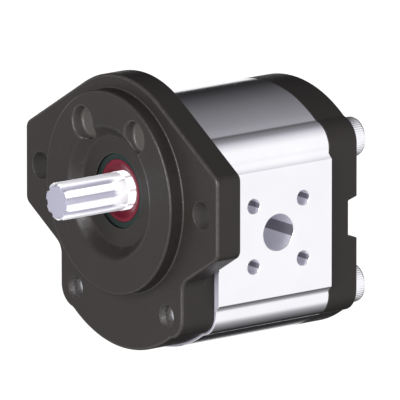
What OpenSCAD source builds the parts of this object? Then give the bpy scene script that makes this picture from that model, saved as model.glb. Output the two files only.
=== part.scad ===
// Hydraulic gear pump: two-bolt flange mount, splined drive shaft, side ports.
// The drive shaft's axis is the Y axis and its splined end points to -Y.
// The origin is on that axis, in the plane of the mounting face; +Z is up.

/* [Mounting flange] */
// Diameter of the locating pilot
pilot_d = 82.55; // [70:0.05:92]
// Height of the pilot above the mounting face
pilot_h = 6.35; // [5:0.05:10]
// Distance between the two flange bolts
ear_pitch = 106.4; // [98:0.1:128]
// Diameter of the flange bolt holes
ear_hole_d = 11; // [8:0.1:13.5]
// Metal outside each flange bolt hole, from its centre
ear_end = 10.3; // [9:0.1:14]
// Thickness of the flange plate
flange_t = 12; // [9:0.1:15]
// Radius of the flange's round top
crown_r = 47; // [44:0.5:50]
// Slope of the ears, in degrees from the horizontal
ear_slope = 31.5; // [26:0.5:36]
// Radius of the ears' outer corners
ear_corner_r = 4; // [1:0.5:8]
// Radius of the fillet under each ear
ear_fillet_r = 6; // [2:0.5:9]

/* [Pilot face] */
// Diameter of the recess at the pilot's face
recess_d = 54; // [48:0.5:60]
// Diameter of the recess at its floor
recess_floor_d = 43.2; // [40:0.2:46]
// Depth of the recess
recess_depth = 5.05; // [3:0.05:6]
// Radius of the recess's rounded rim
recess_round = 4; // [0.5:0.5:5]
// Radius of the two cast pockets beside the recess
pocket_r = 6.5; // [4:0.1:8]
// Distance of the pockets to each side of the shaft
pocket_x = 17; // [14:0.5:20]
// Height of the pockets above the shaft
pocket_z = 25.6; // [22:0.2:27]

/* [Pump body] */
// Length of the body between the covers
body_len = 56.5; // [46:0.1:72]
// Width of the body across its sides, without the port pads
body_w = 82.6; // [76:0.1:100]
// Height of the body's crown above the drive gear's axis
crown_h = 34.6; // [33:0.1:38]
// Radius of the body's crowned top and bottom
body_crown_r = 58; // [54:0.5:62]
// Height of the upper clamp bolts above the drive gear's axis
clamp_h = 14.5; // [12:0.1:18]
// How far each clamp bolt stands in from the middle of its lobe
clamp_in = 1.1; // [0:0.1:2]
// Radius of the lobe around each clamp bolt
lobe_r = 10; // [9:0.1:11]
// Radius of the hollow between each lobe and the crown
valley_r = 2.5; // [1.5:0.1:5]
// Height of each port pad above the body's side
pad_rise = 2; // [0.5:0.1:4]
// Height of each port pad's flat face
pad_h = 52.4; // [44:0.2:56]

/* [Covers] */
// Thickness of the front cover behind the mounting face
front_cover_t = 16.3; // [14:0.1:24]
// How far the front cover stands in from the body's outline
cover_step = 1; // [0:0.1:2]
// Thickness of the rear cover
rear_cover_t = 14.2; // [12:0.1:22]
// Depth of the channel across the rear cover
channel_depth = 4.3; // [2:0.1:5]
// Width of the channel at the rear face
channel_w = 17; // [10:0.5:20]
// Slant of each side of the channel
channel_slant = 1.3; // [0:0.1:3]

/* [Ports] */
// Diameter of the pressure port
pressure_d = 15; // [12:0.5:16]
// Bolt circle of the pressure port
pressure_pcd = 35; // [30:0.5:40]
// Diameter of the suction port
suction_d = 20; // [15:0.5:22]
// Bolt circle of the suction port
suction_pcd = 40; // [35:0.5:44]
// Depth of each port bore
port_depth = 20; // [14:0.5:22]
// How much narrower the passage behind each port is
port_step = 2; // [1:0.5:4]
// How far the ports lie behind the middle of the body
port_back = 1.35; // [-2:0.05:2]
// Diameter of the tapped holes around the ports
port_screw_d = 6; // [5:0.5:8]
// Depth of the tapped holes around the ports
port_screw_depth = 12; // [8:0.5:14]

/* [Gears] */
// Distance between the two gear axes
centres = 31; // [28:0.1:38]
// Teeth on each gear
teeth = 12; // [10:1:14]
// Width of the gears
gear_w = 20.5; // [12:0.5:26]
// Working pressure angle
mesh_angle = 25; // [23:0.5:27]
// Height of the teeth above the pitch circle, in modules
addendum = 0.95; // [0.85:0.01:0.98]
// Play between the teeth on the pitch circle
backlash = 0.16; // [0.08:0.01:0.3]
// Gap between a tooth tip and the other gear's root
tip_to_root = 0.45; // [0.3:0.05:0.8]
// Gap between the tooth tips and the chamber
tip_gap = 0.15; // [0.1:0.01:0.3]
// Gap between each gear face and its bearing block
side_gap = 0.05; // [0.02:0.01:0.1]

/* [Shafts and bushes] */
// Diameter of the bearing journals
journal_d = 18; // [16:0.1:22]
// Wall of the bushes
bush_t = 1.5; // [1:0.1:2]
// Radial running gap between journal and bush
bush_gap = 0.03; // [0.015:0.005:0.08]
// How much thicker the drive shaft is where the seal runs than over its splines
land_step = 0.45; // [0.2:0.05:2]
// Length of the journal in front of the body
journal_out = 6; // [4:0.5:8]
// Diameter over the splines
spline_d = 15.45; // [12:0.05:17]
// Number of splines
spline_n = 8; // [6:1:12]
// Depth of the spline grooves
spline_depth = 1.6; // [1:0.1:2]
// Width of each spline groove at the outside, in degrees
spline_gap_a = 24; // [18:1:30]
// Turn of the splines about the shaft, in degrees
spline_turn = 11; // [0:1:60]
// Distance from the mounting face to the end of the drive shaft
shaft_out = 31.8; // [26:0.1:42]
// Distance from the mounting face to where the splines start to fade
spline_from = 8; // [6:0.5:12]
// Chamfer on the drive shaft's end
shaft_chamfer = 0.8; // [0.3:0.1:1.5]

/* [Shaft seal] */
// Outer diameter of the shaft seal
seal_d = 30.4; // [28:0.1:37]
// Inner diameter of the seal's rubber-covered shell
seal_shell_id = 25.4; // [23:0.1:27]
// Depth of the seal's seat below the recess floor
seal_depth = 7.5; // [6:0.1:9]
// Wall of the seal's shell
shell_t = 1.2; // [0.8:0.1:1.4]
// How far the seal's front lies below the recess floor
seal_sink = 1; // [0.3:0.1:2]
// Gap between the seal lip and the shaft
lip_gap = 0.05; // [0.03:0.01:0.1]
// Diameter of the garter spring's wire coil
garter_d = 1.4; // [1:0.1:2]

/* [Static seals] */
// Land between the chamber and the covers' seals
body_seal_land = 3.4; // [2:0.1:4]
// Width of the covers' seals
body_seal_w = 2.2; // [1.5:0.1:2.6]
// Depth of the covers' seal grooves
body_seal_t = 2; // [1.5:0.1:2.5]
// Wall between the bearing blocks' outside and their seal grooves
block_seal_wall = 1.8; // [1.5:0.1:2.2]
// Width of the pressure seals
pressure_seal_w = 2; // [1.5:0.1:2.4]
// Width of the backup seals
backup_seal_w = 1.2; // [0.8:0.1:1.4]
// Depth of the bearing blocks' seal grooves
block_seal_t = 1.8; // [1.2:0.1:2.4]

/* [Fasteners] */
// Diameter of the clamp bolts' shanks
bolt_d = 10; // [8:0.5:10]
// Pitch of the clamp bolts' thread
bolt_pitch = 1.5; // [1:0.25:1.75]
// Diameter of the clamp bolts' heads
bolt_head_d = 16; // [13:0.5:18]
// Height of the clamp bolts' heads
bolt_head_h = 10; // [6:0.5:12]
// Width across the flats of the bolts' sockets
bolt_socket = 8; // [5:1:8]
// Depth of the spot faces under the bolt heads
spot_depth = 2.8; // [0:0.1:4]
// How far the bolt ends lie below the mounting face
bolt_end_sink = 3; // [1:0.5:5]
// Diameter of the dowel pins
dowel_d = 6; // [4:0.5:7]
// Length of the dowel pins
dowel_len = 16; // [12:1:20]
// Distance of the dowel pins to each side of the shaft
dowel_x = 32; // [30:0.5:34]

/* [Clearances] */
// Radial gap of the bearing blocks in the chamber
block_gap = 0.03; // [0.02:0.01:0.06]
// Radial gap of pressed and threaded pieces in their seats
seat_gap = 0.02; // [0.01:0.01:0.05]
// Gap around a seal in its groove
groove_gap = 0.1; // [0.05:0.05:0.2]
// Radial gap around the clamp bolts in the body and rear cover
bolt_gap = 0.3; // [0.2:0.05:0.6]
// Radial gap around the drive shaft in the front cover
shaft_gap = 0.35; // [0.2:0.05:0.6]

/* [Hidden] */

CAST_BLACK = [0.24, 0.22, 0.21];
ALUMINIUM = [0.82, 0.82, 0.84];
STEEL = [0.80, 0.79, 0.85];
BRONZE = [0.72, 0.53, 0.30];
SEAL_GREEN = [0.10, 0.16, 0.15];
SEAL_RED = [0.47, 0.08, 0.18];
SEAL_BLACK = [0.08, 0.08, 0.08];
BACKUP_WHITE = [0.90, 0.88, 0.80];

overcut = 1;                                  // how far cutting shapes run past a face
round_n = 96;                                 // facets of a full circle

// Places along the shaft
body_y0 = front_cover_t;
body_y1 = body_y0 + body_len;
rear_y = body_y1 + rear_cover_t;
body_mid_y = body_y0 + body_len / 2;
gear_y0 = body_mid_y - gear_w / 2;
gear_y1 = body_mid_y + gear_w / 2;
recess_y = -pilot_h + recess_depth;
seal_y0 = recess_y + seal_sink;
seal_y1 = recess_y + seal_depth;
bolt_seat_y = rear_y - spot_depth;
garter_y = seal_y0 + 3.2;

// Gear teeth: involutes that work at the given centre distance
pitch_r = centres / 2;
tooth_size = centres / teeth;
base_r = pitch_r * cos(mesh_angle);
gear_tip_r = pitch_r + addendum * tooth_size;
gear_root_r = centres - gear_tip_r - tip_to_root;
flank_steps = 7;

// Radii
chamber_r = gear_tip_r + tip_gap;
block_r = chamber_r - block_gap;
block_seal_r = block_r - block_seal_wall;
body_seal_r = chamber_r + body_seal_land;
seal_land_r = (spline_d + land_step) / 2;
lip_r = seal_land_r + lip_gap;
garter_r = lip_r + 1.1 + garter_d / 2;        // middle of the garter spring's wire coil
bush_r = journal_d / 2 + bush_gap + bush_t;
bolt_hole_r = bolt_d / 2 + bolt_gap;
bolt_thread_r = bolt_d / 2 - 0.325 * bolt_pitch;    // where the threads meet, halfway up their flanks
tapped_r = bolt_thread_r + seat_gap;
bore_r = journal_d / 2 + shaft_gap;

// The body's outline
driven_z = -centres;
mid_z = -centres / 2;
side_x = body_w / 2;
pad_x = side_x + pad_rise;
clamp_x = side_x - lobe_r - clamp_in;
clamp_low_z = driven_z - clamp_h;
lobe_c = [side_x - lobe_r, clamp_h];
crown_c = [0, crown_h - body_crown_r];
valley_c = meeting(crown_c, body_crown_r + valley_r, lobe_c, lobe_r + valley_r);
lobe_a = heading(valley_c - lobe_c);
crown_a = heading(valley_c - crown_c);
clamp_points = [for (sx = [-1, 1], z = [clamp_h, clamp_low_z]) [sx * clamp_x, z]];

// The flange's outline
ear_x = ear_pitch / 2 + ear_end;
ear_a = 90 - ear_slope;                       // direction square to an ear's sloping edge

// Points of a circular arc about c, from angle a0 to a1
function arc(c, r, a0, a1, n) =
    [for (i = [0:n]) let (a = a0 + (a1 - a0) * i / n) [c.x + r * cos(a), c.y + r * sin(a)]];

// Direction of v, in degrees
function heading(v) = atan2(v.y, v.x);

// Where circles of radius ra about a and rb about b meet, on the left of the way from b to a
function meeting(a, ra, b, rb) =
    let (d = norm(b - a), along = (ra * ra - rb * rb + d * d) / 2 / d, u = (b - a) / d)
    a + u * along + [-u.y, u.x] * sqrt(ra * ra - along * along);

function turned(points) = [for (p = points) [-p.x, -centres - p.y]];

// Upper part of the body's outline, grown by g, from its right side to its left
function upper_outline(g) =
    let (right = concat(arc(lobe_c, lobe_r + g, 0, lobe_a, 16),
             arc(valley_c, valley_r - g, lobe_a + 180, crown_a + 180, 6)),
         crown = arc(crown_c, body_crown_r + g, crown_a, 180 - crown_a, 32))
    concat(right, crown, [for (i = [len(right) - 1:-1:0]) [-right[i].x, right[i].y]]);

// The whole outline: the lower half is the upper one turned about the middle
function body_outline(g) = concat(upper_outline(g), turned(upper_outline(g)));

// Half-angle of a gear tooth at radius r, in degrees
function involute(a) = tan(a) - a * PI / 180;
function tooth_half_a(r) =
    (90 / teeth - backlash / 4 / pitch_r * 180 / PI)
    + (involute(mesh_angle) - involute(acos(min(1, base_r / r)))) * 180 / PI;

// Extrudes a flat X-Z shape from y0 to y1
module slab(y0, y1) {
    translate([0, y1, 0]) rotate([90, 0, 0]) linear_extrude(y1 - y0) children();
}

// A round bar along Y
module rod(r, y0, y1, x = 0, z = 0) {
    translate([x, y0, z]) rotate([-90, 0, 0]) cylinder(r = r, h = y1 - y0, $fn = round_n);
}

// A hole of radius r into the side that faces side * X, between depths x0 and x1 from X = 0
module side_hole(side, r, x0, x1, y, z) {
    translate([side * x0, y, z]) rotate([0, side * 90, 0]) cylinder(r = r, h = x1 - x0, $fn = round_n);
}

// Turns a profile of [radius, y] points about the shaft's axis
module turned_about_y(points) {
    rotate([-90, 0, 0]) rotate_extrude($fn = round_n) polygon(points);
}

// The flange plate's outline, a mirror image of itself above and below the shaft
module flange_outline() {
    corner = [ear_x - ear_corner_r,
        (crown_r - ear_corner_r - cos(ear_a) * (ear_x - ear_corner_r)) / sin(ear_a)];
    quarter = concat(arc(corner, ear_corner_r, 0, ear_a, 6), arc([0, 0], crown_r, ear_a, 90, 12));
    half = concat(quarter, [for (i = [len(quarter) - 2:-1:0]) [-quarter[i].x, quarter[i].y]]);
    polygon(concat(half, [for (i = [len(half) - 1:-1:0]) [half[i].x, -half[i].y]]));
}

// The fillet between an ear's lower edge and the side of the front cover
module ear_fillet() {
    side = side_x - cover_step;
    corner_z = -(crown_r - cos(ear_a) * side) / sin(ear_a);
    centre = [side + ear_fillet_r,
        -(crown_r + ear_fillet_r - cos(ear_a) * (side + ear_fillet_r)) / sin(ear_a)];
    polygon(concat([[side - lobe_r, centre.y], [side - lobe_r, corner_z + lobe_r]],
        arc(centre, ear_fillet_r, 180 - ear_a, 180, 8)));
}

// Two circles about the gear axes, and the band that joins them
module twin_circles(r) {
    for (z = [0, driven_z]) translate([0, z]) circle(r = r, $fn = round_n);
}

module race_track(r) {
    twin_circles(r);
    translate([-r, driven_z]) square([2 * r, centres]);
}

// A band w wide along a three-shaped line, open to the suction side
module three_band(r, w) {
    intersection() {
        difference() {
            twin_circles(r);
            twin_circles(r - w);
        }
        translate([-block_r / 3, driven_z - chamber_r]) square([2 * chamber_r, centres + 2 * chamber_r]);
    }
}

module clamp_holes(r, y0, y1) {
    for (p = clamp_points) rod(r, y0, y1, p.x, p.y);
}

module dowel_holes(y) {
    for (sx = [-1, 1])
        rod(dowel_d / 2 + seat_gap, y - dowel_len / 2 - seat_gap, y + dowel_len / 2 + seat_gap,
            sx * dowel_x, mid_z);
}

module front_cover() {
    color(CAST_BLACK) difference() {
        union() {
            slab(0, flange_t) {
                flange_outline();
                ear_fillet();
                mirror([1, 0]) ear_fillet();
            }
            slab(0, front_cover_t) polygon(body_outline(-cover_step));
            pilot();
        }
        for (sx = [-1, 1]) {
            rod(ear_hole_d / 2, -overcut, flange_t + overcut, sx * ear_pitch / 2);
            rod(pocket_r, -pilot_h - overcut, recess_y, sx * pocket_x, pocket_z);
            rod(tapped_r, -overcut, front_cover_t + overcut, sx * clamp_x, clamp_low_z);
            rod(tapped_r, bolt_end_sink / 2, front_cover_t + overcut, sx * clamp_x, clamp_h);
        }
        rod(seal_d / 2 + seat_gap, recess_y - overcut, seal_y1);
        rod(bore_r, seal_y1 - overcut, front_cover_t + overcut);
        drain_hole();
        dowel_holes(body_y0);
        slab(body_y0 - body_seal_t, body_y0 + overcut) difference() {
            race_track(body_seal_r + body_seal_w + groove_gap);
            race_track(body_seal_r - groove_gap);
        }
    }
}

// The pilot with its conical recess, which has a rounded rim
module pilot() {
    rim = 0.5;
    slope_a = atan2(recess_depth, (recess_d - recess_floor_d) / 2);
    centre = [recess_d / 2 + recess_round * tan(slope_a / 2), recess_round - pilot_h];
    turned_about_y(concat(
        [[0, overcut], [pilot_d / 2, overcut], [pilot_d / 2, rim - pilot_h], [pilot_d / 2 - rim, -pilot_h]],
        arc(centre, recess_round, -90, -90 - slope_a, 6),
        [[recess_floor_d / 2, recess_y], [0, recess_y]]));
}

// Lets oil from behind the shaft seal back to the suction side
module drain_hole() {
    drain_r = 1.5;
    rod(drain_r, seal_y1 - overcut, front_cover_t + overcut, -(bush_r + drain_r / 2));
}

module pump_body() {
    color(ALUMINIUM) difference() {
        slab(body_y0, body_y1) {
            polygon(body_outline(0));
            port_pads();
        }
        slab(body_y0 - overcut, body_y1 + overcut) twin_circles(chamber_r);
        clamp_holes(bolt_hole_r, body_y0 - overcut, body_y1 + overcut);
        dowel_holes(body_y0);
        dowel_holes(body_y1);
        port(1, pressure_d, pressure_pcd);
        port(-1, suction_d, suction_pcd);
    }
}

module port_pads() {
    inner = pad_x - 2 * pad_rise;
    half_h = pad_h / 2;
    end_h = half_h + 2 * pad_rise;
    translate([0, mid_z]) polygon([
        [-pad_x, -half_h], [-inner, -end_h], [inner, -end_h], [pad_x, -half_h],
        [pad_x, half_h], [inner, end_h], [-inner, end_h], [-pad_x, half_h]
    ]);
}

// A port with its passage into the chamber and its four tapped holes
module port(side, d, pcd) {
    y = body_mid_y + port_back;
    side_hole(side, d / 2, pad_x - port_depth, pad_x + overcut, y, mid_z);
    side_hole(side, (d - port_step) / 2, 0, pad_x - port_depth + overcut, y, mid_z);
    for (a = [45:90:315])
        side_hole(side, port_screw_d / 2, pad_x - port_screw_depth, pad_x + overcut,
            y + pcd / 2 * cos(a), mid_z + pcd / 2 * sin(a));
}

module rear_cover() {
    color(CAST_BLACK) difference() {
        slab(body_y1, rear_y) polygon(body_outline(0));
        clamp_holes(bolt_hole_r, body_y1 - overcut, rear_y + overcut);
        clamp_holes(bolt_head_d / 2 + bolt_gap, bolt_seat_y, rear_y + overcut);
        dowel_holes(body_y1);
        slab(body_y1 - overcut, body_y1 + body_seal_t) difference() {
            race_track(body_seal_r + body_seal_w + groove_gap);
            race_track(body_seal_r - groove_gap);
        }
        channel();
    }
}

// The channel across the rear face
module channel() {
    floor_half = channel_w / 2 - channel_slant;
    mouth_half = channel_w / 2 + channel_slant / channel_depth * overcut;
    translate([-2 * side_x, 0, mid_z]) rotate([90, 0, 90]) linear_extrude(4 * side_x) polygon([
        [rear_y - channel_depth, -floor_half], [rear_y + overcut, -mouth_half],
        [rear_y + overcut, mouth_half], [rear_y - channel_depth, floor_half]
    ]);
}

// One gear, cut square to its shaft, with its first tooth at the given angle
module gear(turn) {
    slab(gear_y0 + side_gap, gear_y1 - side_gap) {
        circle(r = gear_root_r, $fn = round_n);
        for (k = [0:teeth - 1]) rotate(turn + k * 360 / teeth) polygon(tooth());
    }
}

// Outline of one tooth about the +X direction, rooted inside the root circle
function tooth() =
    let (radii = [for (i = [0:flank_steps]) base_r + (gear_tip_r - base_r) * pow(i / flank_steps, 1.5)],
         flank = concat([[gear_root_r - 1, tooth_half_a(base_r)]],
             [for (r = radii) [r, tooth_half_a(r)]]))
    concat([for (p = flank) [p[0] * cos(p[1]), -p[0] * sin(p[1])]],
        [for (i = [len(flank) - 1:-1:0]) [flank[i][0] * cos(flank[i][1]), flank[i][0] * sin(flank[i][1])]]);

// Both journals of a shaft, from y0 to the end of the rear bearing block
module journals(y0) {
    rod(journal_d / 2, y0, body_y1 - 1);
}

module drive_gear_shaft() {
    land_y = front_cover_t - journal_out;
    color(STEEL) difference() {
        union() {
            gear(0);
            journals(land_y);
            rod(seal_land_r, -spline_from / 5, land_y + overcut);
            turned_about_y([
                [0, 0], [spline_d / 2, 0], [spline_d / 2, shaft_chamfer - shaft_out],
                [spline_d / 2 - shaft_chamfer, -shaft_out], [0, -shaft_out]
            ]);
        }
        for (k = [0:spline_n - 1]) rotate([0, -spline_turn - k * 360 / spline_n, 0]) spline_groove();
    }
}

// One groove along +X of the shaft, with the round run-out that its cutter leaves
module spline_groove() {
    root = spline_d / 2 - spline_depth;
    half_gap = spline_gap_a / 2;
    run = spline_from * 0.8;                  // length over which the groove fades
    cutter_r = run * run / 2 / spline_depth;
    mouth = (spline_d / 2) * sin(half_gap);
    floor_w = mouth * 0.62;
    slope = (mouth - floor_w) / spline_depth;
    slab(-shaft_out - overcut, -spline_from) polygon([
        [root, -floor_w], [root + 2 * spline_depth, -floor_w - 2 * spline_depth * slope],
        [root + 2 * spline_depth, floor_w + 2 * spline_depth * slope], [root, floor_w]
    ]);
    translate([root + cutter_r, -spline_from, -floor_w])
        cylinder(r = cutter_r - 0.04, h = 2 * floor_w, $fn = round_n);
}

module driven_gear_shaft() {
    color(STEEL) translate([0, 0, driven_z]) {
        gear(90 + 180 / teeth);
        journals(body_y0 + 1);
    }
}

// A block that carries both shafts; seal_y is its sealed outer face
module bearing_block(y0, y1, seal_y0, seal_y1) {
    groove_w = pressure_seal_w + backup_seal_w;
    color(ALUMINIUM) difference() {
        slab(y0, y1) twin_circles(block_r);
        for (z = [0, driven_z]) rod(bush_r + seat_gap, y0 - overcut, y1 + overcut, 0, z);
        slab(seal_y0, seal_y1) three_band(block_seal_r + groove_gap, groove_w + 3 * groove_gap);
    }
}

module front_bearing_block() {
    bearing_block(body_y0, gear_y0, body_y0 - overcut, body_y0 + block_seal_t);
}

module rear_bearing_block() {
    bearing_block(gear_y1, body_y1, body_y1 - block_seal_t, body_y1 + overcut);
}

module bush(y0, y1, z) {
    color(BRONZE) difference() {
        rod(bush_r, y0, y1, 0, z);
        rod(journal_d / 2 + bush_gap, y0 - overcut, y1 + overcut, 0, z);
    }
}

module drive_bush_front() {
    bush(body_y0, gear_y0, 0);
}

module drive_bush_rear() {
    bush(gear_y1, body_y1, 0);
}

module driven_bush_front() {
    bush(body_y0, gear_y0, driven_z);
}

module driven_bush_rear() {
    bush(gear_y1, body_y1, driven_z);
}

module body_seal(y0, y1) {
    color(SEAL_BLACK) slab(y0, y1) difference() {
        race_track(body_seal_r + body_seal_w);
        race_track(body_seal_r);
    }
}

module front_body_seal() {
    body_seal(body_y0 - body_seal_t, body_y0);
}

module rear_body_seal() {
    body_seal(body_y1, body_y1 + body_seal_t);
}

module front_pressure_seal() {
    color(SEAL_BLACK) slab(body_y0, body_y0 + block_seal_t) three_band(block_seal_r, pressure_seal_w);
}

module rear_pressure_seal() {
    color(SEAL_BLACK) slab(body_y1 - block_seal_t, body_y1) three_band(block_seal_r, pressure_seal_w);
}

module backup_band() {
    three_band(block_seal_r - pressure_seal_w - groove_gap, backup_seal_w);
}

module front_backup_seal() {
    color(BACKUP_WHITE) slab(body_y0, body_y0 + block_seal_t) backup_band();
}

module rear_backup_seal() {
    color(BACKUP_WHITE) slab(body_y1 - block_seal_t, body_y1) backup_band();
}

// Rubber-covered steel shell, an L in section, open to the rear
module shaft_seal_shell() {
    floor_r = seal_shell_id / 2 - 2;
    color(SEAL_GREEN) turned_about_y([
        [seal_shell_id / 2, seal_y0], [seal_d / 2, seal_y0], [seal_d / 2, seal_y1],
        [seal_d / 2 - shell_t, seal_y1], [seal_d / 2 - shell_t, seal_y0 + shell_t],
        [floor_r, seal_y0 + shell_t], [floor_r, seal_y0 + shell_t / 2],
        [seal_shell_id / 2, seal_y0 + shell_t / 2]
    ]);
}

// The red sealing element: a cone down to a sharp lip, with a groove for the garter spring
module shaft_seal_lip() {
    outer = seal_shell_id / 2 - groove_gap;
    back_r = lip_r + 2.4;
    back_y = seal_y0 + 4.4;
    color(SEAL_RED) difference() {
        turned_about_y([
            [outer, seal_y0 + 0.1], [outer, seal_y0 + shell_t / 2], [back_r, seal_y0 + shell_t / 2],
            [back_r, back_y], [lip_r, back_y - 0.4], [lip_r + 0.5, seal_y0 + 0.6],
            [lip_r, seal_y0 - 0.2], [lip_r + 0.8, seal_y0 - 0.4]
        ]);
        garter_ring(garter_d / 2 + seat_gap);
    }
}

// A ring of round section in the garter spring's place
module garter_ring(r) {
    rotate([-90, 0, 0]) rotate_extrude($fn = round_n) translate([garter_r, garter_y]) circle(r = r, $fn = 24);
}

module garter_spring() {
    color(STEEL) garter_ring(garter_d / 2);
}

module dowel_pins() {
    color(STEEL) for (y = [body_y0, body_y1], sx = [-1, 1])
        rod(dowel_d / 2, y - dowel_len / 2, y + dowel_len / 2, sx * dowel_x, mid_z);
}

module clamp_bolts() {
    color(STEEL) for (p = clamp_points) translate([p.x, 0, p.y]) clamp_bolt();
}

// A socket cap screw with its head to the rear
module clamp_bolt() {
    tip = 0.8;                                // chamfer at the threaded end
    rim = 0.6;                                // chamfer at the head's edge
    socket_depth = bolt_head_h / 2;
    head_y = bolt_seat_y + bolt_head_h;
    difference() {
        union() {
            turned_about_y([
                [0, bolt_end_sink], [bolt_thread_r - tip, bolt_end_sink],
                [bolt_thread_r, bolt_end_sink + tip], [bolt_thread_r, body_y0], [0, body_y0]
            ]);
            rod(bolt_d / 2, body_y0, bolt_seat_y);
            turned_about_y([
                [0, bolt_seat_y], [bolt_head_d / 2, bolt_seat_y], [bolt_head_d / 2, head_y - rim],
                [bolt_head_d / 2 - rim, head_y], [0, head_y]
            ]);
        }
        slab(head_y - socket_depth, head_y + overcut)
            circle(d = bolt_socket / cos(30), $fn = 6);
    }
}

front_cover();
pump_body();
rear_cover();
drive_gear_shaft();
driven_gear_shaft();
front_bearing_block();
rear_bearing_block();
drive_bush_front();
drive_bush_rear();
driven_bush_front();
driven_bush_rear();
front_body_seal();
rear_body_seal();
front_pressure_seal();
rear_pressure_seal();
front_backup_seal();
rear_backup_seal();
shaft_seal_shell();
shaft_seal_lip();
garter_spring();
dowel_pins();
clamp_bolts();
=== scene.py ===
"""Looks of the hydraulic gear pump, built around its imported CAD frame.

Everything is in metres in the pump's own frame: the drive shaft lies on the Y axis with its splines
towards -Y, the mounting face is the plane y = 0, and +Z is up. MM turns millimetres into metres.
"""

import math

import bmesh
import bpy
from mathutils import Matrix, Vector


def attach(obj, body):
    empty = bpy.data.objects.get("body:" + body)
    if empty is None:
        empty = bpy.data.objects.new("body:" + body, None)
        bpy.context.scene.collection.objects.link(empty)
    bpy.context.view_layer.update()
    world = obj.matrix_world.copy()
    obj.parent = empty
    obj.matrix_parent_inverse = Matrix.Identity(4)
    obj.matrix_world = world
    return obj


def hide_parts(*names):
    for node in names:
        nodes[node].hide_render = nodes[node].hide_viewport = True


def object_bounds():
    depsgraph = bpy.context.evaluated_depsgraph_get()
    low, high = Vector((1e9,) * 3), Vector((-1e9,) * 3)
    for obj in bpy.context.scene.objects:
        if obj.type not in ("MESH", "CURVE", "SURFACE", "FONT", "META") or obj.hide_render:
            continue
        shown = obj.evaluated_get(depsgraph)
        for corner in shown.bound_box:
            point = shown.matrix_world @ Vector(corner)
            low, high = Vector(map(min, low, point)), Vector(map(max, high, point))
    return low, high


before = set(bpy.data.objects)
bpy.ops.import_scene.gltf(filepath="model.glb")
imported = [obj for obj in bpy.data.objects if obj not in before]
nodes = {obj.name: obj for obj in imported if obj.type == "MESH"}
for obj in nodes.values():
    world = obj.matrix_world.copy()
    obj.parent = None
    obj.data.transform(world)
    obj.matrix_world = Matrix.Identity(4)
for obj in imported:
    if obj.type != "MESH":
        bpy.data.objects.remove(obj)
cad_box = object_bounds()
MM = 0.001
TURN = 2 * math.pi

# ---------------------------------------------------------------- camera, floor and light

AZIMUTH, ELEVATION = math.radians(52.84), math.radians(13.71)
FIELD = 0.1597          # width of what the camera sees, at the pump
LENS, SENSOR = 1500.0, 36.0
FARTHEST = 100          # where the camera stops seeing
AIM_RIGHT, AIM_UP = 0.0067, 0.0008      # how far the camera aims from the pump's middle
FLOOR_REACH = 6.0
FLOOR_DROP = 0.30       # the floor lies well below the pump, which hangs by its flange


def place_camera():
    back = Vector((math.sin(AZIMUTH) * math.cos(ELEVATION),
                   -math.cos(AZIMUTH) * math.cos(ELEVATION),
                   math.sin(ELEVATION)))
    right = Vector((math.cos(AZIMUTH), math.sin(AZIMUTH), 0))
    aim = (cad_box[0] + cad_box[1]) / 2 + right * AIM_RIGHT + back.cross(right) * AIM_UP
    data = bpy.data.cameras.new("camera")
    data.lens, data.sensor_width, data.clip_end = LENS, SENSOR, FARTHEST
    camera = bpy.data.objects.new("camera", data)
    bpy.context.collection.objects.link(camera)
    camera.location = aim + back * (FIELD * LENS / SENSOR)
    camera.rotation_euler = (-back).to_track_quat("-Z", "Y").to_euler()
    bpy.context.scene.camera = camera


def soft_light(name, watts, size, place, aim=(0, 0.03, -0.015), height=None):
    """A softbox that faces the pump, square unless it has a height of its own."""
    data = bpy.data.lights.new(name, "AREA")
    data.energy, data.shape = watts, "RECTANGLE"
    data.size, data.size_y = size, height or size
    lamp = bpy.data.objects.new(name, data)
    bpy.context.collection.objects.link(lamp)
    lamp.location = place
    lamp.rotation_euler = (Vector(aim) - Vector(place)).to_track_quat("-Z", "Y").to_euler()


def studio_world():
    """A room lit from the pressure side and the front, and dark behind the suction side."""
    world = bpy.data.worlds.new("studio")
    bpy.context.scene.world = world
    world.use_nodes = True
    world.node_tree.nodes.clear()
    room = Recipe(world.node_tree)
    way = room.node("ShaderNodeTexCoord", out="Generated")
    towards_light = room.node("ShaderNodeVectorMath", {"operation": "DOT_PRODUCT"}, {
        0: way, 1: LIGHT_WAY}, out="Value")
    lit = room.ramp(towards_light * 0.5 + 0.5, ROOM_STOPS)
    split = room.node("ShaderNodeSeparateXYZ", {}, {"Vector": way})
    height, depth = split.sibling("Z"), split.sibling("Y")
    overhead = room.clamped(height, 0.2, 0.55) * room.clamped(depth, 0.5, 0.2)
    lit = room.mix(overhead * OVERHEAD_SHADE, lit, (0, 0, 0, 1))
    horizon = room.clamped(height, 0.08, 0.03)
    room.node("ShaderNodeOutputWorld", {}, {
        "Surface": room.node("ShaderNodeBackground", {}, {
            "Color": room.mix(horizon, lit, (1, 1, 1, 1)), "Strength": ROOM_STRENGTH})})


LIGHT_WAY = (0.85, -0.53, 0)
# How bright the room is, from the dark side (0) to the bright side (1)
ROOM_STOPS = (
    (0.015, (0.02, 0.02, 0.022, 1)),
    (0.07, (0.08, 0.08, 0.085, 1)),
    (0.157, (0.17, 0.17, 0.18, 1)),
    (0.267, (0.27, 0.265, 0.28, 1)),
    (0.327, (0.40, 0.39, 0.42, 1)),
    (0.445, (0.70, 0.69, 0.72, 1)),
    (0.60, (1.0, 1.0, 1.0, 1)))
ROOM_STRENGTH = 1.1
OVERHEAD_SHADE = 0.7    # how much darker the room is overhead


# ---------------------------------------------------------------- materials

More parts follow.
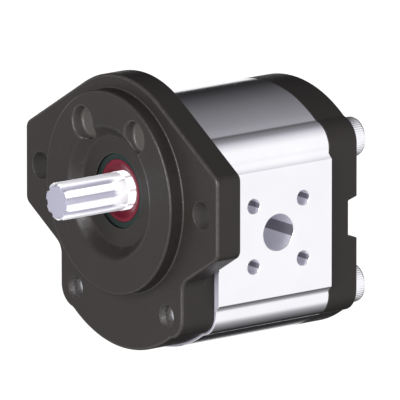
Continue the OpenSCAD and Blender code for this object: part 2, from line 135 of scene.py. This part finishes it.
class Value:
    """A socket that carries a number or a colour, with arithmetic on it."""

    def __init__(self, recipe, socket):
        self.recipe, self.socket = recipe, socket

    def sibling(self, name):
        """Another output of the same node."""
        return Value(self.recipe, self.socket.node.outputs[name])

    def _maths(self, operation, first, second):
        return self.recipe.node("ShaderNodeMath", {"operation": operation}, {0: first, 1: second})

    def __add__(self, other):
        return self._maths("ADD", self, other)

    def __sub__(self, other):
        return self._maths("SUBTRACT", self, other)

    def __rsub__(self, other):
        return self._maths("SUBTRACT", other, self)

    def __mul__(self, other):
        return self._maths("MULTIPLY", self, other)

    __radd__ = __add__
    __rmul__ = __mul__


class Recipe:
    """Adds nodes to one tree."""

    def __init__(self, tree):
        self.tree = tree

    def node(self, kind, settings=None, inputs=None, out=0):
        """Adds a node: its settings first, then the values or links of its sockets."""
        made = self.tree.nodes.new(kind)
        for name, value in (settings or {}).items():
            if name == "stops":
                set_stops(made.color_ramp, value)
            else:
                setattr(made, name, value)
        for name, value in (inputs or {}).items():
            if isinstance(value, Value):
                self.tree.links.new(value.socket, made.inputs[name])
            else:
                made.inputs[name].default_value = value
        return Value(self, made.outputs[out]) if made.outputs else None

    def ramp(self, value, stops):
        return self.node("ShaderNodeValToRGB", {"stops": stops}, {"Fac": value})

    def mix(self, amount, first, second):
        """A colour between first and second."""
        return self.node("ShaderNodeMix", {"data_type": "RGBA"},
                         {0: amount, 6: first, 7: second}, out=2)

    def stretched(self, scale):
        """Object coordinates with each axis scaled by its own number, per metre."""
        place = self.node("ShaderNodeTexCoord", out="Object")
        return self.node("ShaderNodeMapping", {}, {"Vector": place, "Scale": scale})

    def noise(self, scale, detail=3.0, roughness=0.5, where=None):
        """Noise from 0 to 1 with features about 1 / scale metres across."""
        where = where or self.node("ShaderNodeTexCoord", out="Object")
        return self.node("ShaderNodeTexNoise", {}, {
            "Vector": where, "Scale": scale, "Detail": detail, "Roughness": roughness})

    def clamped(self, value, low, high, to_low=0.0, to_high=1.0):
        """value from low..high taken to to_low..to_high, and held there."""
        return self.node("ShaderNodeMapRange", {}, {
            "Value": value, "From Min": low, "From Max": high, "To Min": to_low, "To Max": to_high})

    def attribute(self, name):
        """A number that each face of a piece carries, 0 where it carries none."""
        return self.node("ShaderNodeAttribute", {"attribute_name": name}, out="Fac")

    def bump(self, height, depth):
        return self.node("ShaderNodeBump", {}, {
            "Height": height, "Strength": 1.0, "Distance": depth})


def set_stops(ramp, stops):
    while len(ramp.elements) < len(stops):
        ramp.elements.new(0.5)
    for element, (place, colour) in zip(ramp.elements, stops):
        element.position, element.color = place, colour


class Finish(Recipe):
    """One material, from its shader's plain values and the values that vary over it."""

    def __init__(self, name, **plain):
        self.material = bpy.data.materials.new(name)
        self.material.use_nodes = True
        super().__init__(self.material.node_tree)
        self.shader = self.tree.nodes["Principled BSDF"]
        for socket, value in plain.items():
            self.shader.inputs[socket.replace("_", " ")].default_value = value

    def varies(self, **values):
        for socket, value in values.items():
            self.tree.links.new(value.socket, self.shader.inputs[socket.replace("_", " ")])
        return self.material


def cast_black():
    """Black paint over a fine casting, rubbed along the edges with a painted highlight there, and
    with painted light in holes and pockets.
    """
    f = Finish("cast_black", Metallic=0.0, IOR=1.5, Specular_IOR_Level=0.22)
    grain = f.noise(2600, 4.0, 0.65)
    lumps = f.noise(420, 2.0)
    cloud = f.noise(45, 3.0)
    # wear and painted highlight: rounded edges get a lighter colour that also strengthens their
    # highlights
    wear_and_highlight = f.attribute("edge") * f.clamped(f.noise(900, 3.0), 0.35, 0.7, 0.35, 1.0)
    paint = f.mix(cloud, (0.0092, 0.0076, 0.0071, 1), (0.0122, 0.0101, 0.0095, 1))
    paint = f.mix(f.clamped(grain, 0.35, 0.75, 0.0, 0.35), paint, (0.021, 0.0185, 0.0175, 1))
    # painted light: the walls of holes and pockets are lighter, to lift the shade inside them
    paint = f.mix(f.attribute("hollow"), paint, (0.046, 0.043, 0.041, 1))
    return f.varies(
        Base_Color=f.mix(wear_and_highlight * 0.5, paint, (0.045, 0.042, 0.040, 1)),
        Roughness=f.clamped(lumps, 0.3, 0.7, 0.34, 0.46) - wear_and_highlight * 0.1,
        Normal=f.bump(grain * 0.6 + lumps, 0.00006))


def drawn_aluminium():
    """The body: a bright extrusion with fine lines along it, matt bored holes whose pale grey is
    partly painted light, and end faces painted darker as shade.
    """
    f = Finish("aluminium")
    lines = f.noise(1.0, 3.0, 0.6, f.stretched((5200, 30, 5200)))
    broad = f.noise(1.0, 2.0, 0.5, f.stretched((500, 12, 500)))
    cloud = f.noise(60, 3.0)
    bored = f.attribute("bored")
    # bored walls: matt as machined, with a pale grey that is painted light standing in for their
    # reflections
    skin = f.mix(cloud, (0.84, 0.83, 0.87, 1), (0.92, 0.92, 0.95, 1))
    # painted shade: the end faces get a darker grey than the bored walls
    bored_and_end_painted_tone = f.mix(f.attribute("milled"), (0.70, 0.69, 0.78, 1), (0.20, 0.195, 0.23, 1))
    return f.varies(
        Base_Color=f.mix(bored, skin, bored_and_end_painted_tone),
        Metallic=1 - bored * 0.9,
        Roughness=0.08 + lines * 0.08 + broad * 0.03 + bored * 0.40,
        Normal=f.bump((lines + broad * 0.5) * (1 - bored), 0.000004))


def machined_aluminium():
    """The bearing blocks: turned and faced, with fine rings of tool marks."""
    f = Finish("block_aluminium", Metallic=1.0)
    marks = f.noise(1.0, 2.0, 0.6, f.stretched((900, 4200, 900)))
    cloud = f.noise(90, 3.0)
    return f.varies(
        Base_Color=f.mix(cloud, (0.56, 0.56, 0.57, 1), (0.68, 0.68, 0.70, 1)),
        Roughness=0.30 + marks * 0.15,
        Normal=f.bump(marks, 0.000008))


def ground_steel(name, dark, light, rough=0.12):
    """Steel with fine grinding lines round its axis."""
    f = Finish(name, Metallic=1.0)
    rings = f.noise(1.0, 2.0, 0.5, f.stretched((60, 4200, 60)))
    return f.varies(
        Base_Color=f.mix(f.noise(110, 3.0), dark, light),
        Roughness=rough + rings * 0.05,
        Normal=f.bump(rings, 0.000003))


def splined_steel():
    """The shafts: satin steel, duller on the turned end, with painted shade down in the hobbed
    grooves.
    """
    f = Finish("shaft_steel")
    rings = f.noise(1.0, 2.0, 0.5, f.stretched((60, 4200, 60)))
    place = f.node("ShaderNodeTexCoord", out="Object")
    y = f.node("ShaderNodeSeparateXYZ", {}, {"Vector": place}, out="Y")
    off_axis = f.node("ShaderNodeVectorMath", {"operation": "LENGTH"},
                      {0: f.stretched((1, 0, 1))}, out="Value")
    end = f.clamped(y, (SHAFT_END + 0.03) * MM, SHAFT_END * MM)
    # painted shade: the groove roots are coloured darker
    groove_painted_shade = (f.clamped(off_axis, GROOVE_TOP * MM, GROOVE_ROOT * MM)
              * f.clamped(y, -5 * MM, -8 * MM))
    satin = f.mix(f.noise(110, 3.0), (0.66, 0.655, 0.69, 1), (0.76, 0.755, 0.79, 1))
    return f.varies(
        Base_Color=f.mix(end, f.mix(groove_painted_shade, satin, (0.30, 0.295, 0.36, 1)), (0.54, 0.535, 0.65, 1)),
        Metallic=0.05 + end * 0.95,
        Roughness=0.32 + rings * 0.05 + end * 0.1,
        Normal=f.bump(rings, 0.000003))


SHAFT_END = -31.8                       # y of the splined end
# painted shade darkens the grooves between these distances from the axis
GROOVE_TOP, GROOVE_ROOT = 7.45, 6.4     # distances from the axis between which a groove darkens


def bearing_bronze():
    """Bronze with the dark pores that hold the lining."""
    f = Finish("bush_bronze", Metallic=1.0)
    pores = f.clamped(f.noise(3800, 2.0), 0.52, 0.62)
    return f.varies(
        Base_Color=f.mix(pores, (0.62, 0.38, 0.16, 1), (0.20, 0.17, 0.14, 1)),
        Roughness=0.30 + pores * 0.25,
        Normal=f.bump(1 - pores, 0.00001))


def moulded(name, dark, light, rough, gloss=0.5):
    """Rubber or plastic from a mould: nearly even, with a fine skin."""
    f = Finish(name, Specular_IOR_Level=gloss)
    skin = f.noise(2400, 3.0, 0.6)
    cloud = f.noise(160, 2.0)
    return f.varies(
        Base_Color=f.mix(cloud, dark, light),
        Roughness=rough + skin * 0.15,
        Normal=f.bump(skin, 0.00002))


def pale_floor():
    """The pale floor that is seen."""
    return Finish("floor", Roughness=1.0, Base_Color=(0, 0, 0, 1), Emission_Color=(1, 1, 1, 1),
                  Emission_Strength=FLOOR_GLOW).material


def painted_shade_light():
    """A sheet seen only in reflections and bounced light, with painted shade: dark behind and left
    of the pump, dimmer at the front left, bright elsewhere.
    """
    f = Finish("painted_shade_sheet", Roughness=1.0, Base_Color=(0, 0, 0, 1), Emission_Strength=FLOOR_GLOW,
               IOR=1.0)
    place = f.node("ShaderNodeTexCoord", out="Object")
    across = f.node("ShaderNodeSeparateXYZ", {}, {"Vector": place})
    far = f.node("ShaderNodeVectorMath", {"operation": "LENGTH"}, {0: place}, out="Value")
    outer = f.node("ShaderNodeMath", {"operation": "MAXIMUM"}, {
        0: f.clamped(across.sibling("Y"), 0.0, -0.15), 1: f.clamped(far, 0.62, 0.86)})
    bright = f.node("ShaderNodeMath", {"operation": "MAXIMUM"}, {
        0: f.clamped(across, -0.15, 0.36), 1: outer})
    front_left_painted_shade = f.clamped(across, -0.2, -0.5) * f.clamped(across.sibling("Y"), -0.1, -0.3)
    # painted shade: the card is darker behind and to the left of the pump, and dimmer at the front
    # left
    return f.varies(Emission_Color=f.ramp(bright - front_left_painted_shade * 0.3, PAINTED_SHADE_STOPS))


FLOOR_GLOW = 1.06
# Levels of the card's painted shade, from its darkest patch to its bright rim
PAINTED_SHADE_STOPS = (
    (0.0, (0.02, 0.02, 0.022, 1)),
    (0.35, (0.16, 0.16, 0.165, 1)),
    (0.60, (0.36, 0.36, 0.37, 1)),
    (0.90, (0.94, 0.94, 0.95, 1)),
    (1.0, (1, 1, 1, 1)))


# ---------------------------------------------------------------- making pieces

SMALLEST_EDGE = 0.003   # in millimetres, of a finished mesh
SMALLEST_STEP = 0.06    # in millimetres, of a copy of a CAD mesh
FLAT = 0.4              # faces of a copy that meet at fewer degrees than this become one


def new_piece(name, bm, material, body, replaced=(), sharp=50):
    """Turns a finished bmesh into a piece that rides on a body, creased above sharp degrees."""
    bmesh.ops.dissolve_degenerate(bm, edges=bm.edges, dist=SMALLEST_EDGE * MM)
    mesh = bpy.data.meshes.new(name)
    bm.to_mesh(mesh)
    bm.free()
    mesh.materials.append(material)
    piece = bpy.data.objects.new(name, mesh)
    bpy.context.collection.objects.link(piece)
    mesh.polygons.foreach_set("use_smooth", [True] * len(mesh.polygons))
    mesh.set_sharp_from_angle(angle=math.radians(sharp))
    weights = piece.modifiers.new("even_faces", "WEIGHTED_NORMAL")
    weights.keep_sharp = True
    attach(piece, body)
    if replaced:
        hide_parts(*replaced)
    return piece


def merged_copy(node):
    """A merged bmesh copy of a CAD node, with its flat faces whole again."""
    bm = bmesh.new()
    bm.from_mesh(nodes[node].data)
    bmesh.ops.remove_doubles(bm, verts=bm.verts, dist=SMALLEST_STEP * MM)
    bmesh.ops.dissolve_limit(bm, angle_limit=math.radians(FLAT), verts=bm.verts,
                             edges=bm.edges)
    return bm


def corners(bm, where=None):
    """The edges where two faces meet at more than CORNER degrees, of those that where() accepts."""
    limit = math.radians(CORNER)
    found = []
    for edge in bm.edges:
        if edge.is_manifold and edge.calc_face_angle() > limit:
            if where is None or where(edge):
                found.append(edge)
    return found


CORNER = 28


def round_off(bm, edges, radius, segments=2, careful=False):
    """Rounds edges, and marks the new faces as rubbed edges that also carry a painted highlight.

    With careful, no rounding grows past its neighbours.
    """
    wear_and_highlight_layer = bm.faces.layers.float.get("edge") or bm.faces.layers.float.new("edge")
    if edges:
        made = bmesh.ops.bevel(bm, geom=edges, offset=radius * MM, offset_type="OFFSET",
                               affect="EDGES", segments=segments, profile=0.5, material=-1,
                               clamp_overlap=careful, loop_slide=True)
        for face in made["faces"]:
            face[wear_and_highlight_layer] = 1.0


def middle(edge):
    """The middle of an edge in millimetres: x, y, z and distance from the drive shaft's axis."""
    place = (edge.verts[0].co + edge.verts[1].co) / 2 / MM
    return place.x, place.y, place.z, math.hypot(place.x, place.z)


def eased(node, name, material, body, radius, segments=2, where=None):
    """A copy of a CAD node with its corners rounded, in the node's place."""
    bm = merged_copy(node)
    round_off(bm, corners(bm, where), radius, segments, careful=True)
    return new_piece(name, bm, material, body, (node,))


# Where the drive shaft's gear and the shaft itself end: y
GEAR_ENDS = (34.35, 54.75)
SHAFT_BACK = 71.8


def shaft_edge(edge):
    """Accepts the long edges of splines and teeth, and the rims of the gear's and shaft's ends."""
    y, along = middle(edge)[1], abs(edge.verts[0].co.y - edge.verts[1].co.y)
    at_end = (any(abs(y - end) < 0.1 for end in GEAR_ENDS)
              or y < SHAFT_END + 0.1 or y > SHAFT_BACK - 0.1)
    return edge.is_convex and (along > 10 * MM or at_end)


# Holes from the front of the front cover: distance to the side, height and radius
POCKET = (17, 25.6, 6.5)
FRONT_HOLES = ((53.2, 0, 5.5), (30.2, -45.5, 4.54))
PILOT_R = 41.27
COVER_BACK, FLANGE_BACK = 16.3, 12      # y of the cover's back and of the flange's back


def front_cover():
    """The front cover, with its cast edges well rounded and its machined edges only broken."""
    bm = merged_copy("front_cover")

    def at(y_wanted, edge):
        return abs(middle(edge)[1] - y_wanted) < 0.1

    def near_hole(edge):
        x, y, z, _ = middle(edge)
        return any(math.hypot(abs(x) - hx, z - hz) < r + 0.3 for hx, hz, r in FRONT_HOLES)

    def on_pocket(edge):
        x, y, z, _ = middle(edge)
        return y < -1 and abs(from_pocket(x, z) - POCKET[2]) < 0.2

    def on_outline(edge, y_wanted, smallest_r):
        return (at(y_wanted, edge) and middle(edge)[3] > smallest_r and edge.is_convex
                and not near_hole(edge))

    # Radius, segments and edges: the outline's front, the flange's back, the cover's back, the
    # pilot's rim, the pilot's foot, the holes, the seal's seat, the pockets' floors and their rims
    groups = (
        (1.1, 3, lambda e: on_outline(e, 0, 41.5)),
        (1.0, 3, lambda e: on_outline(e, FLANGE_BACK, 40)),
        (0.2, 2, lambda e: on_outline(e, COVER_BACK, 36)),
        (0.2, 2, lambda e: middle(e)[1] < -5.7 and middle(e)[3] > 40),
        (0.5, 3, lambda e: at(0, e) and abs(middle(e)[3] - PILOT_R) < 0.2),
        (0.35, 2, lambda e: at(0, e) and near_hole(e) and middle(e)[3] > 42),
        (0.3, 2, lambda e: middle(e)[1] < -0.5 and middle(e)[3] < 16),
        (1.2, 3, lambda e: not e.is_convex and on_pocket(e)),
        (0.8, 3, lambda e: e.is_convex and on_pocket(e)),
    )
    for radius, segments, where in groups:
        round_off(bm, corners(bm, where), radius, segments)
    # painted light in the pockets and on the walls of the holes
    hollow = bm.faces.layers.float.new("hollow")
    for face in bm.faces:
        x, y, z = face.calc_center_median() / MM
        if y < -0.3 and from_pocket(x, z) < POCKET[2] + 0.1:
            face[hollow] = 0.8
        elif abs(face.normal.y) < 0.3:
            for hx, hz, r in FRONT_HOLES:
                if abs(math.hypot(abs(x) - hx, z - hz) - r) < 0.3:
                    face[hollow] = 1.0
    return new_piece("front_cover_casting", bm, BLACK, "housing",
                     ("front_cover",))


def from_pocket(x, z):
    """How far a place is from the axis of the nearer pocket."""
    return math.hypot(abs(x) - POCKET[0], z - POCKET[1])


BODY_MID_Z = -15.5      # halfway between the two shafts
PORT_Y = 45.9
# Ports and tapped holes of the suction side and of the pressure side: y, z and radius
SIDE_HOLES = tuple(
    [(PORT_Y, BODY_MID_Z, r) for r in (port_r, port_r - 1)]
    + [(PORT_Y + a * half, BODY_MID_Z + b * half, 3.0) for a in (-1, 1) for b in (-1, 1)]
    for port_r, half in ((10, 14.142), (7.5, 12.374)))


def pump_body():
    """The body, with the walls of its ports and tapped holes marked as bored with painted light,
    and its end faces marked as matt with painted shade.
    """
    bm = merged_copy("pump_body")
    round_off(bm, corners(bm, edge_of_side), 0.25, 2)
    bored = bm.faces.layers.float.new("bored")
    milled = bm.faces.layers.float.new("milled")
    for face in bm.faces:
        # the end faces: matt, and darker as painted shade
        if abs(face.normal.y) > 0.95:
            face[bored], face[milled] = 1.0, 1.0
        elif abs(face.normal.x) < 0.35:
            x, y, z = face.calc_center_median() / MM
            for hy, hz, r in SIDE_HOLES[x > 0]:
                if abs(math.hypot(y - hy, z - hz) - r) < 0.25:
                    face[bored] = 1.0
    return new_piece("pump_body_extrusion", bm, BODY, "housing",
                     ("pump_body",), sharp=24)


def edge_of_side(edge):
    """Accepts the body's outer edges, but not those of the gear chamber."""
    x, y, z, _ = middle(edge)
    return abs(x) > 22 and edge.is_convex or abs(z - BODY_MID_Z) > 48


CLAMP_X, CLAMP_Z = 30.2, (14.5, -45.5)


def cap_screws():
    """Four socket cap screws with knurled heads, hexagon sockets and chamfered ends."""
    bm = bmesh.new()
    for x in (-1, 1):
        for z in CLAMP_Z:
            one_screw(bm, x * CLAMP_X * MM, z * MM)
    bmesh.ops.recalc_face_normals(bm, faces=bm.faces)
    return new_piece("clamp_bolt_set", bm, BOLT, "housing", ("clamp_bolts",))


# Section of the seal's red element, as radius and y: a flat band, a funnel to the lip, the back
LIP_SECTION = (
    (12.6, -0.25), (12.4, -0.32), (11.4, -0.32), (11.1, -0.2), (10.6, 0.15), (9.4, 1.1),
    (8.3, 1.5), (8.02, 1.7), (8.01, 2.2), (9.0, 2.15), (10.5, 1.6), (11.2, 0.35), (12.6, 0.3))
LIP_STEPS = 96


def seal_lip():
    """The red sealing element, open to the front as a funnel."""
    bm = bmesh.new()
    loop = [bm.verts.new((r * MM, y * MM, 0)) for r, y in LIP_SECTION]
    edges = [bm.edges.new(pair) for pair in zip(loop, loop[1:] + loop[:1])]
    bmesh.ops.spin(bm, geom=loop + edges, cent=(0, 0, 0), axis=(0, 1, 0), angle=TURN,
                   steps=LIP_STEPS, use_merge=True)
    bmesh.ops.recalc_face_normals(bm, faces=bm.faces)
    return new_piece("shaft_seal_lip_red", bm, RED, "housing", ("shaft_seal_lip",))


# Outline of a screw from its threaded end to its head: radius and y
SCREW_OUTLINE = (
    (0, 3), (3.71, 3), (4.51, 3.8), (4.51, 16.3), (5, 16.31), (5, 83.6), (5.6, 84.2), (7.9, 84.2),
    (8, 84.4), (8, 85.0), (8, 92.9), (7.97, 93.2), (7.6, 93.9), (7.0, 94.2), (5.0, 94.2),
    (4.62, 93.9))
KNURLS, KNURL_DEPTH = 54, 0.22
KNURLED = (84.5, 94)                    # the y between which the head is knurled
SOCKET_FLATS, SOCKET_FLOOR = 8.0, 89.2
SOCKET_CHAMFER = 0.3


def one_screw(bm, x, z):
    """Adds a screw whose axis is at x and z: a turned outline, a socket and a knurled head."""
    start = [bm.verts.new((x + r * MM, y * MM, z)) for r, y in SCREW_OUTLINE]
    edges = [bm.edges.new(pair) for pair in zip(start, start[1:])]
    bmesh.ops.spin(bm, geom=start + edges, cent=(x, 0, z), axis=(0, 1, 0), angle=TURN,
                   steps=2 * KNURLS, use_merge=True)
    bmesh.ops.remove_doubles(bm, verts=bm.verts, dist=0.001 * MM)
    mouth = [edge for edge in bm.edges if edge.is_boundary]
    walls = bmesh.ops.extrude_edge_only(bm, edges=mouth)["geom"]
    ring = [v for v in walls if isinstance(v, bmesh.types.BMVert)]
    for v in ring:
        angle = math.atan2(v.co.z - z, v.co.x - x)
        from_flat = (angle + TURN / 12) % (TURN / 6) - TURN / 12
        reach = SOCKET_FLATS / 2 / math.cos(from_flat) * MM
        v.co = (x + reach * math.cos(angle), v.co.y - SOCKET_CHAMFER * MM,
                z + reach * math.sin(angle))
    rim = [edge for edge in bm.edges if edge.is_boundary]
    walls = bmesh.ops.extrude_edge_only(bm, edges=rim)["geom"]
    for v in walls:
        if isinstance(v, bmesh.types.BMVert):
            v.co.y = SOCKET_FLOOR * MM
    bmesh.ops.holes_fill(bm, edges=[edge for edge in bm.edges if edge.is_boundary])
    for v in bm.verts:
        out = math.hypot(v.co.x - x, v.co.z - z)
        if 7.9 * MM < out < 8.1 * MM and KNURLED[0] * MM < v.co.y < KNURLED[1] * MM:
            step = round(math.atan2(v.co.z - z, v.co.x - x) / (TURN / 2 / KNURLS))
            if step % 2:
                shrink = 1 - KNURL_DEPTH * MM / out
                v.co.x, v.co.z = x + (v.co.x - x) * shrink, z + (v.co.z - z) * shrink


def floor_sheet(name, material, above):
    """A wide flat sheet, above millimetres over the floor's level."""
    bm = bmesh.new()
    bmesh.ops.create_grid(bm, x_segments=1, y_segments=1, size=FLOOR_REACH,
                          matrix=Matrix.Translation((0, 0, cad_box[0].z - FLOOR_DROP + above * MM)))
    mesh = bpy.data.meshes.new(name)
    bm.to_mesh(mesh)
    bm.free()
    mesh.materials.append(material)
    sheet = bpy.data.objects.new(name, mesh)
    bpy.context.collection.objects.link(sheet)
    return sheet


place_camera()
studio_world()
floor = floor_sheet("floor", pale_floor(), 0)
floor.visible_diffuse = floor.visible_glossy = floor.visible_shadow = False
# a sheet the camera doesn't see, whose painted shade darkens what the pump reflects
painted_shade_sheet = floor_sheet("painted_shade_card", painted_shade_light(), 1)
painted_shade_sheet.visible_camera = False
soft_light("key", 68, 0.35, (0.5, -1.6, 0.5), aim=(0, 0, 0.5), height=1.6)
soft_light("side", 19, 0.8, (1.6, -0.3, 0.2))

BLACK = cast_black()
BODY = drawn_aluminium()
BLOCK = machined_aluminium()
SHAFT = splined_steel()
BOLT = ground_steel("bolt_steel", (0.84, 0.84, 0.89, 1), (0.92, 0.92, 0.96, 1), rough=0.20)
SPRING = ground_steel("spring_steel", (0.45, 0.45, 0.48, 1), (0.62, 0.62, 0.66, 1))
BRONZE = bearing_bronze()
RED = moulded("seal_red", (0.055, 0.0015, 0.007, 1), (0.085, 0.003, 0.012, 1), 0.30, 0.2)
GREEN = moulded("seal_rubber", (0.002, 0.007, 0.006, 1), (0.005, 0.012, 0.011, 1), 0.34, 0.22)
RUBBER = moulded("black_rubber", (0.010, 0.010, 0.010, 1), (0.018, 0.018, 0.018, 1), 0.40)
BACKUP = moulded("backup_plastic", (0.66, 0.63, 0.52, 1), (0.78, 0.75, 0.64, 1), 0.35)

front_cover()
pump_body()
eased("rear_cover", "rear_cover_casting", BLACK, "housing", 0.8, 3)
eased("drive_gear_shaft", "drive_gear_and_shaft", SHAFT, "drive_shaft", 0.15,
      where=shaft_edge)
eased("driven_gear_shaft", "driven_gear_and_shaft", SHAFT, "driven_shaft", 0.12)
cap_screws()
seal_lip()
eased("shaft_seal_shell", "shaft_seal_shell_green", GREEN, "housing", 0.2)
for name in ("front_bearing_block", "rear_bearing_block"):
    eased(name, name + "_machined", BLOCK, "housing", 0.2)
for name in ("drive_bush_front", "drive_bush_rear", "driven_bush_front", "driven_bush_rear"):
    eased(name, name + "_lined", BRONZE, "housing", 0.2)
for name in ("front_body_seal", "rear_body_seal", "front_pressure_seal", "rear_pressure_seal"):
    eased(name, name + "_rubber", RUBBER, "housing", 0.4, 3)
for name in ("front_backup_seal", "rear_backup_seal"):
    eased(name, name + "_plastic", BACKUP, "housing", 0.15)
for name in ("dowel_pins", "garter_spring"):    # these keep the meshes of their nodes
    nodes[name].data.materials.clear()
    nodes[name].data.materials.append(SPRING)

bpy.context.scene.view_settings.view_transform = "Standard"
